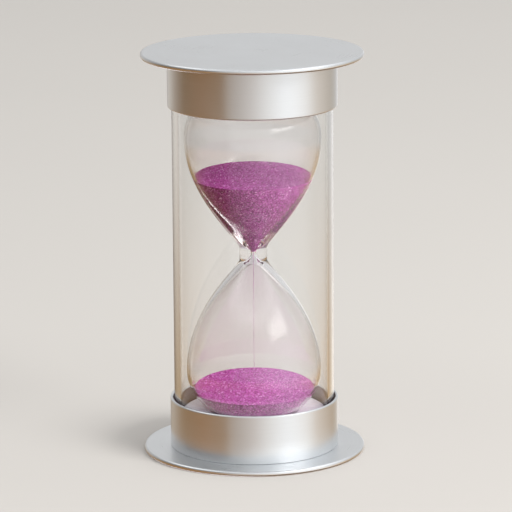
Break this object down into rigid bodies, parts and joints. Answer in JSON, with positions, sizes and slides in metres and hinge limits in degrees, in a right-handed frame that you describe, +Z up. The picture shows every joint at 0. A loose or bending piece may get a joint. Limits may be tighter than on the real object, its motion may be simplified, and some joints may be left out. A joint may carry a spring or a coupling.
{
  "type": "hourglass",
  "caption": "Round sand timer: a two-bulb glass vial of coloured sand inside a clear tube, held between two flanged metal caps.",
  "frame": {"origin": "centre of the base plate's underside, where the timer stands", "axes": "+Z up along the timer's axis of revolution, +X to the right and -Y towards the viewer"},
  "size_m": [0.08, 0.08, 0.1464],
  "materials": {
    "metal": "satin silver, turned lines on the plates and fine brushing round the cups",
    "tube": "clear, polished",
    "vial": "clear blown glass",
    "sand": "fine dyed sand, matte with a slight sparkle",
    "foam": "matte white foam",
    "rubber": "matte moulded rubber",
    "bond": "adhesive film"
  },
  "bodies": {
    "root": {"bottom_plate": "metal", "bottom_collar": "metal", "bottom_bond_disc": "bond", "bottom_foam_pad": "foam", "top_plate": "metal", "top_collar": "metal", "top_bond_disc": "bond", "top_foam_pad": "foam", "outer_tube": "tube", "glass_vial": "vial", "fill_plug": "rubber", "upper_sand": "sand", "sand_stream": "sand", "lower_sand": "sand"}
  },
  "joints": []
}
